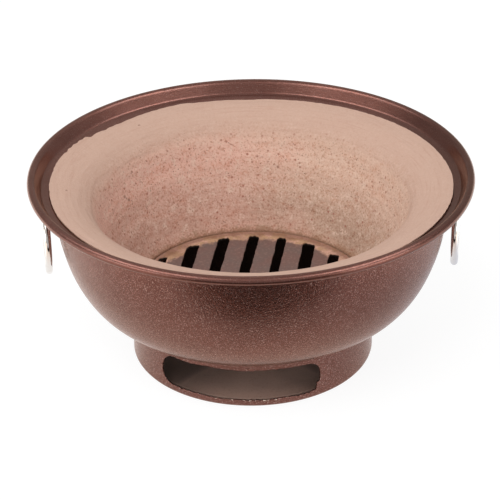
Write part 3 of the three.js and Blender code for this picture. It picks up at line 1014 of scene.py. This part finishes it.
def fired_clay(finish):
    """Matt clay: tan on the shoulder, pinker inside with painted light that lifts the left of the
    fire bowl, painted shade low down, broad clouds, faint smoothing marks round the shoulder, red
    grains, pale grit, pores and a few nicks darkened by painted shade, and stained where it meets
    the grate. Heights are in metres."""
    material, place = new_material("fired_clay")
    x, y, z = place.split()
    cloud = noise(place, 55 * MM, 4.0)
    mottled = noise(place, 7 * MM, 6.0, 0.75)
    grit = noise(place, 1.5 * MM, 3.0, 0.6)
    stretched = {0: y.math("ARCTAN2", x) * 0.0072, 1: from_axis(x, y), 2: z}
    strokes = noise(add(place.tree, "CombineXYZ", stretched), 1.6 * MM)
    rough = z.ramp(0.134, 0.112, 0.12, 1.0)
    # painted light: the fire bowl is painted pinker and lighter towards the left, where the lamp leaves its
    # wall in shade; the pink also grows low down
    leftwards = cloud * -0.16 + (x + 0.08)
    pink = leftwards.ramp(0.075, -0.045, 0.1, 1.0) * z.ramp(0.126, 0.108, 0.5, 1.0)
    red = grains(place, 4.2 * MM, edge=0.30, core=0.14, channel=0, least=0.55, strength=0.75)
    pores = grains(place, 2.6 * MM, edge=0.24, core=0.10, channel=1, least=0.62)
    pores = pores * z.ramp(0.136, 0.112, 0.1, 1.0)
    holes = largest(pores, *(nick(place, grit, *sizes) for sizes in NICKS))
    stained = mottled * 0.022 + (grit * 0.010 + z)
    base = layered(
        finish.clay,
        (z.ramp(0.131, 0.117), mix(pink, finish.clay_tan, finish.clay_pink_lift)),
        # painted shade low in the fire bowl, broken up by the clouds
        (z.ramp(0.106, 0.056) * cloud.ramp(0.7, 0.3, 0.6, 0.9), (0.55, 0.53, 0.50), "MULTIPLY"),
        (rough * mottled.ramp(0.48, 0.66, 0.0, 0.75), (0.88, 0.74, 0.68), "MULTIPLY"),
        (rough * mottled.ramp(0.46, 0.34, 0.0, 0.6), finish.clay_light),
        (z.ramp(0.118, 0.134) * strokes.ramp(0.5, 0.8, 0.0, 0.18), finish.clay_red),
        (rough * grit.ramp(0.54, 0.70, 0.0, 0.8) * z.ramp(0.055, 0.095, 0.3, 1.0), finish.clay_light),
        (rough * grit.ramp(0.48, 0.33, 0.0, 0.75), (0.66, 0.52, 0.44), "MULTIPLY"),
        (rough * red, finish.clay_red),
        # painted shade in the pores and nicks
        (holes * 0.7, finish.clay_pore),
        (stained.ramp(0.0710, 0.0650, 0.0, 0.75), finish.clay_joint),
    )
    relief = strokes * 0.3 + (holes * -0.7 + (mottled * 0.7 + grit))
    finish_surface(base, relief, 0.30 * MM, {"Roughness": 0.95, "Specular IOR Level": 0.15})
    return material


def nick(place, grit, x, y, height, size):
    """A hole at a place, all in millimetres, with an edge frayed by the grit."""
    inputs = {0: place, 1: (x * MM, y * MM, height * MM)}
    away = add(place.tree, "VectorMath", inputs, "Value", operation="DISTANCE")
    size = size * MM
    return (grit * (-1.6 * size) + away).ramp(0.1 * size, -0.3 * size, 0.0, 0.8)


def dusty_plate(finish, grate):
    """Brown painted plate under clay dust, with clay slip and ochre patches on the border, thicker
    by the rim, and painted shade on the cut faces."""
    material, place = new_material("grate_steel")
    x, y, z = place.split()
    grain = noise(place, 2.2 * MM, 4.0)
    cloud = noise(place, 16 * MM)
    sand = noise(place, 1.3 * MM)
    wobble = grain * (5 * MM) + (cloud * (11 * MM) + from_axis(x, y))
    edge = grate.radius - grate.slip_width
    sandy = layered(
        finish.slip,
        (noise(place, 9 * MM, 2.0).ramp(0.45, 0.58, 0.0, 0.9), finish.ochre),
        (sand.ramp(0.42, 0.66, 0.0, 0.45), finish.clay_joint),
        (cloud.ramp(0.54, 0.62, 0.0, 0.45), finish.clay_joint),
        (wobble.ramp(grate.radius - 0.5 * MM, grate.radius + 4.5 * MM, 0.0, 0.6), finish.clay_pore),
    )
    base = layered(
        finish.plate,
        (cloud.ramp(0.35, 0.65, 0.0, 0.35), finish.enamel),
        (grain.ramp(0.48, 0.75, 0.0, 0.16), finish.slip),
        (wobble.ramp(edge + 7 * MM, edge + 11 * MM), sandy),
        # painted shade on the cut faces, below the plate's top
        (z.ramp(GRATE_HIGH.z - 0.7 * MM, GRATE_HIGH.z - 1.3 * MM), finish.painted_shade),
    )
    finish_surface(base, sand, 0.25 * MM, {"Roughness": 0.72, "Specular IOR Level": 0.35})
    return material


def tray_enamel(finish):
    """Dull brown enamel with a trace of fine ash, and painted shade between the vent and the middle, most
    towards the sides.
    """
    material, place = new_material("tray_paint")
    x, y, _ = place.split()
    fine = noise(place, 1.5 * MM)
    # painted shade: darker away from the vent and towards the sides, where the foot ring shades the floor
    inwards = y + x * x * 11.0
    shade_mask = largest(inwards.ramp(-0.09, -0.03, 0.0, 0.6), inwards.ramp(-0.05, -0.02, 0.0, 0.8))
    base = layered(
        finish.tray,
        (noise(place, 12 * MM, 5.0).ramp(0.42, 0.7, 0.0, 0.15), finish.slip),
        (fine.ramp(0.5, 0.8, 0.0, 0.3), finish.enamel_deep),
        (shade_mask * y.ramp(-0.025, 0.0, 1.0, 0.4), finish.painted_shade),
    )
    finish_surface(base, fine, 0.15 * MM, {"Roughness": 0.7, "Specular IOR Level": 0.3})
    return material


def bright_plating(finish, name, tone, polished, dull):
    """Plated wire: faint drawing marks, and a roughness from polished to dull in hazy patches."""
    material, place = new_material(name)
    haze = noise(place, 6 * MM)
    marks = noise(place, 0.5 * MM, 2.0)
    base = mix(haze.ramp(0.4, 0.8, 0.0, 0.25), tone, finish.bare)
    inputs = {"Metallic": 1.0, "Roughness": haze.ramp(0.3, 0.7, polished, dull)}
    finish_surface(base, marks, 0.02 * MM, inputs)
    return material


# ---- stage


def rays(tree, kind):
    """1 for rays of a kind, else 0."""
    return add(tree, "LightPath", output=f"Is {kind} Ray")


def seen_directly(tree):
    """1 for camera, glossy and transmission rays, else 0."""
    return largest(*(rays(tree, kind) for kind in ("Camera", "Glossy", "Transmission")))


def two_ways(tree, usual, direct):
    """The usual shader, and another where it is seen directly."""
    return add(tree, "MixShader", {0: seen_directly(tree), 1: usual, 2: direct})


def make_world(stage):
    """White where it is seen directly, and an even light for the rest."""
    world = bpy.data.worlds.new("studio")
    world.use_nodes = True
    tree = world.node_tree
    tree.nodes.clear()
    light = add(tree, "Background", {"Color": rgba(WHITE), "Strength": stage.sky})
    white = add(tree, "Background", {"Color": rgba(WHITE), "Strength": 1.0})
    add(tree, "OutputWorld", {"Surface": two_ways(tree, light, white)})
    bpy.context.scene.world = world


def make_floor(stage):
    """A pale floor. What is seen of it directly is lifted to white, and the shadow stays. In
    reflections it is warmer in front of the brazier, where it takes the clay's glow, dimmer at the
    right and brighter far out at both sides."""
    material, place = new_material("studio_floor")
    tree = place.tree
    x, y, _ = place.split()
    reflected = rays(tree, "Glossy")
    pale = add(tree, "BsdfDiffuse", {"Color": rgba((0.8, 0.8, 0.8))})
    lifted = add(tree, "BsdfDiffuse", {"Color": rgba([stage.floor_share] * 3)})
    tone = layered(
        WHITE,
        ((-y).ramp(0.0, 0.2) * reflected, (0.90, 0.76, 0.67)),
        (x.plateau(0.02, 0.2, 0.26, 0.42) * reflected, (0.70, 0.72, 0.79), "MULTIPLY"),
    )
    strength = abs(x).ramp(0.22, 0.38, 0.0, 0.45) * reflected + stage.floor_glow
    glow = add(tree, "Emission", {"Color": tone, "Strength": strength})
    show(tree, two_ways(tree, pale, add(tree, "AddShader", {0: lifted, 1: glow})))
    reach = 12.0
    add_stage_sheet("studio_floor", level_corners((-reach, reach), (-reach, reach), 0.0), material)


def level_corners(across, along, height):
    """The four corners of a level rectangle, as a grid."""
    return stacked(*np.meshgrid(across, along, indexing="ij"), height)


def add_stage_sheet(name, points, material):
    """A surface of the stage, from a grid of its points."""
    mesh = mesh_of(name, *skin(points))
    mesh.materials.append(material)
    sheet = bpy.data.objects.new(name, mesh)
    bpy.context.scene.collection.objects.link(sheet)
    return sheet


def only_reflected(card):
    """Hides a card from all but glossy rays."""
    for kind in ("camera", "diffuse", "transmission", "volume_scatter", "shadow"):
        setattr(card, f"visible_{kind}", False)


def make_card(stage):
    """A dark card that only reflections show. It fades in over the table's front edge, which bows
    towards the camera at both sides, and is grey further off."""
    material, place = new_material("table_card")
    tree = place.tree
    x, y, _ = place.split()
    across = x + -0.015
    ahead = -(y + across * across * 2.2)
    cover = ahead.ramp(stage.table_edge - 0.04, stage.table_edge + 0.04)
    strength = ahead.ramp(0.44, 0.52, stage.dark, 0.45)
    dark = add(tree, "Emission", {"Color": rgba((1, 0.9, 0.9)), "Strength": strength})
    clear = add(tree, "BsdfTransparent")
    show(tree, add(tree, "MixShader", {0: cover, 1: clear, 2: dark}))
    near, far, half = -0.1, -2.6, 1.5
    corners = level_corners((-half, half), (far, near), MM)
    only_reflected(add_stage_sheet("card_table", corners, material))


def make_dome(stage):
    """A dome that only reflections show. It is dim, and bright where the direction (x, y, z) from
    its middle meets one of five patches: high up at both sides in front, low over the horizon at
    both sides of the camera, half way up at the sides, and faint ones half way up in front and high
    at the back. Straight over the camera it stays dim."""
    material, place = new_material("studio_dome")
    aim = add(place.tree, "VectorMath", {0: place}, operation="NORMALIZE")
    x, y, z = aim.split()
    aside, slanted = abs(x), x * 0.17 + y
    high = z.plateau(0.60, 0.69, 0.80, 0.87) * (aside.ramp(0.2, 0.45, 0.06, 1.0) * y.ramp(0.35, -0.05))
    low = z.plateau(0.02, 0.06, 0.20, 0.30) * y.plateau(-0.8, -0.65, -0.24, -0.12)
    beside = z.plateau(0.42, 0.52, 0.70, 0.76) * slanted.ramp(0.28, 0.13)
    beside = beside * y.ramp(-0.3, -0.12) * aside.ramp(0.6, 0.72, 0.0, 0.4)
    half_way = z.ramp(0.26, 0.34) * y.ramp(-0.2, -0.4) * aside.ramp(0.2, 0.4) * 0.04
    back = z.ramp(0.5, 0.75, 0.0, 0.08) * y.ramp(0.3, 0.5)
    strength = largest(high, low, beside, half_way, back) * stage.band + stage.dim
    inputs = {"Color": rgba((1, 0.98, 0.96)), "Strength": strength}
    show(place.tree, add(place.tree, "Emission", inputs))
    turn, rise = np.meshgrid(around(48), np.linspace(0, QUARTER, 13), indexing="ij")
    size = 5.0
    dome = size * stacked(np.cos(rise) * np.cos(turn), np.cos(rise) * np.sin(turn), np.sin(rise))
    only_reflected(add_stage_sheet("studio_dome", np.concatenate([dome, dome[:1]]), material))


def make_lamp(stage):
    """One large soft lamp, high on the left in front."""
    lamp = bpy.data.lights.new("soft_key", "AREA")
    lamp.shape = "DISK"
    lamp.size = 1.6
    lamp.energy = stage.key
    holder = bpy.data.objects.new("soft_key", lamp)
    position = Matrix.Translation((-0.7, -1.2, 2.0))
    aim = (-position.translation).to_track_quat("-Z", "Y").to_matrix().to_4x4()
    holder.matrix_world = position @ aim
    holder.visible_glossy = False
    bpy.context.scene.collection.objects.link(holder)


def make_camera(stage):
    """Yaw about Z, then pitch down, then roll about the line of sight."""
    data = bpy.data.cameras.new("photo_camera")
    data.sensor_width = 36.0
    data.lens = stage.lens
    camera = bpy.data.objects.new("photo_camera", data)
    turn = Matrix.Rotation(stage.yaw, 4, "Z")
    tilt = Matrix.Rotation(QUARTER - stage.pitch, 4, "X")
    lean = Matrix.Rotation(stage.roll, 4, "Z")
    camera.matrix_world = Matrix.Translation(stage.camera) @ turn @ tilt @ lean
    bpy.context.scene.collection.objects.link(camera)
    bpy.context.scene.camera = camera


# ---- operators


class BRAZIER_OT_stage(bpy.types.Operator):
    """Make the even light, the pale floor, the reflected studio, the soft lamp and the camera"""

    bl_idname = "brazier.stage"
    bl_label = "Stage"

    def execute(self, context):
        context.scene.view_settings.view_transform = "Standard"
        for make in (make_world, make_floor, make_card, make_dome, make_lamp, make_camera):
            make(context.scene.brazier.stage)
        return {"FINISHED"}


class BRAZIER_OT_bowl_shell(bpy.types.Operator):
    """Make the pressed steel bowl with its throat, ledge and rolled rim"""

    bl_idname = "brazier.bowl_shell"
    bl_label = "Bowl Shell"

    def execute(self, context):
        brazier = context.scene.brazier
        enamel = hammered_enamel(brazier.finish, "hammered_paint")
        shape = bowl_shell(brazier.bowl)
        add_piece("steel_bowl", shape, "brazier", "bowl_shell", enamel)
        return {"FINISHED"}


class BRAZIER_OT_clay_liner(bpy.types.Operator):
    """Make the fired-clay lining with its rounded shoulder and fire bowl"""

    bl_idname = "brazier.clay_liner"
    bl_label = "Clay Lining"

    def execute(self, context):
        brazier = context.scene.brazier
        shape, clay = clay_liner(brazier.bowl, brazier.clay), fired_clay(brazier.finish)
        add_piece("clay_lining", shape, "brazier", "clay_liner", clay, math.radians(55))
        return {"FINISHED"}


class BRAZIER_OT_grate(bpy.types.Operator):
    """Make the loose plate with its hand-cut slots"""

    bl_idname = "brazier.grate"
    bl_label = "Grate"

    def execute(self, context):
        brazier = context.scene.brazier
        shape, steel = grate_plate(brazier.grate), dusty_plate(brazier.finish, brazier.grate)
        plate = add_piece("slotted_grate", shape, "loose_grate", "grate", steel)
        weigh_cut_edges(plate.data, GRATE_LOW.z)
        round_edges(plate, brazier.grate.arris, limit="WEIGHT")
        return {"FINISHED"}


class BRAZIER_OT_foot_ring(bpy.types.Operator):
    """Make the foot ring with its hand-cut vent"""

    bl_idname = "brazier.foot_ring"
    bl_label = "Foot Ring"

    def execute(self, context):
        brazier = context.scene.brazier
        enamel = hammered_enamel(brazier.finish, "foot_paint", brazier.foot)
        shape = foot_ring(brazier.foot)
        ring = add_piece("vented_foot", shape, "brazier", "foot_ring", enamel)
        round_edges(ring, brazier.foot.arris)
        return {"FINISHED"}


class BRAZIER_OT_ash_floor(bpy.types.Operator):
    """Make the ash floor inside the foot ring"""

    bl_idname = "brazier.ash_floor"
    bl_label = "Ash Floor"

    def execute(self, context):
        brazier = context.scene.brazier
        tray = tray_enamel(brazier.finish)
        add_piece("ash_tray_floor", ash_floor(brazier.tray), "brazier", "ash_floor", tray)
        return {"FINISHED"}


class BRAZIER_OT_ring_handles(bpy.types.Operator):
    """Make the two ring handles"""

    bl_idname = "brazier.ring_handles"
    bl_label = "Ring Handles"

    def execute(self, context):
        finish, handles = context.scene.brazier.finish, context.scene.brazier.handles
        chrome = bright_plating(finish, "ring_chrome", finish.chrome, polished=0.05, dull=0.11)
        for label, side in SIDES:
            shape = ring_handle(handles, side, getattr(handles, f"yaw_{label}"))
            add_piece(f"ring_{label}", shape, f"{label}_ring", f"ring_handle_{label}", chrome)
        return {"FINISHED"}


class BRAZIER_OT_eye_bolts(bpy.types.Operator):
    """Make the two eye bolts that the rings hang in"""

    bl_idname = "brazier.eye_bolts"
    bl_label = "Eye Bolts"

    def execute(self, context):
        finish, handles = context.scene.brazier.finish, context.scene.brazier.handles
        chrome = bright_plating(finish, "eye_chrome", finish.chrome, polished=0.08, dull=0.16)
        for label, side in SIDES:
            shape = eye_bolt(handles, side)
            add_piece(f"eye_{label}", shape, "brazier", f"eye_bolt_{label}", chrome)
        return {"FINISHED"}


class BRAZIER_OT_eye_nuts(bpy.types.Operator):
    """Make the two nuts inside the bowl's wall"""

    bl_idname = "brazier.eye_nuts"
    bl_label = "Eye Nuts"

    def execute(self, context):
        finish, handles = context.scene.brazier.finish, context.scene.brazier.handles
        zinc = bright_plating(finish, "zinc", finish.zinc, polished=0.28, dull=0.48)
        for label, side in SIDES:
            shape = eye_nut(handles, side)
            add_piece(f"nut_{label}", shape, "brazier", f"eye_nut_{label}", zinc, math.radians(25))
        return {"FINISHED"}


class BRAZIER_PT_sidebar(bpy.types.Panel):
    bl_idname = "BRAZIER_PT_sidebar"
    bl_label = "Charcoal Brazier"
    bl_space_type = "VIEW_3D"
    bl_region_type = "UI"
    bl_category = "Brazier"

    def draw(self, context):
        for operator in OPERATORS:
            self.layout.operator(operator.bl_idname)
        for group in BrazierSettings.__annotations__:
            settings = getattr(context.scene.brazier, group)
            box = self.layout.box()
            box.label(text=group.capitalize())
            for name in type(settings).__annotations__:
                box.prop(settings, name)


GROUPS = (
    BowlSettings,
    ClaySettings,
    GrateSettings,
    FootSettings,
    TraySettings,
    HandleSettings,
    FinishSettings,
    StageSettings,
    BrazierSettings,
)
OPERATORS = (
    BRAZIER_OT_stage,
    BRAZIER_OT_bowl_shell,
    BRAZIER_OT_clay_liner,
    BRAZIER_OT_grate,
    BRAZIER_OT_foot_ring,
    BRAZIER_OT_ash_floor,
    BRAZIER_OT_ring_handles,
    BRAZIER_OT_eye_bolts,
    BRAZIER_OT_eye_nuts,
)


def register():
    for item in (*GROUPS, *OPERATORS, BRAZIER_PT_sidebar):
        bpy.utils.register_class(item)
    bpy.types.Scene.brazier = PointerProperty(type=BrazierSettings)


def unregister():
    del bpy.types.Scene.brazier
    for item in reversed((*GROUPS, *OPERATORS, BRAZIER_PT_sidebar)):
        bpy.utils.unregister_class(item)


def main():
    """Registers the add-on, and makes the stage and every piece."""
    register()
    bpy.ops.brazier.stage()
    bpy.ops.brazier.bowl_shell()
    bpy.ops.brazier.clay_liner()
    bpy.ops.brazier.grate()
    bpy.ops.brazier.foot_ring()
    bpy.ops.brazier.ash_floor()
    bpy.ops.brazier.ring_handles()
    bpy.ops.brazier.eye_bolts()
    bpy.ops.brazier.eye_nuts()


if __name__ == "__main__":
    main()
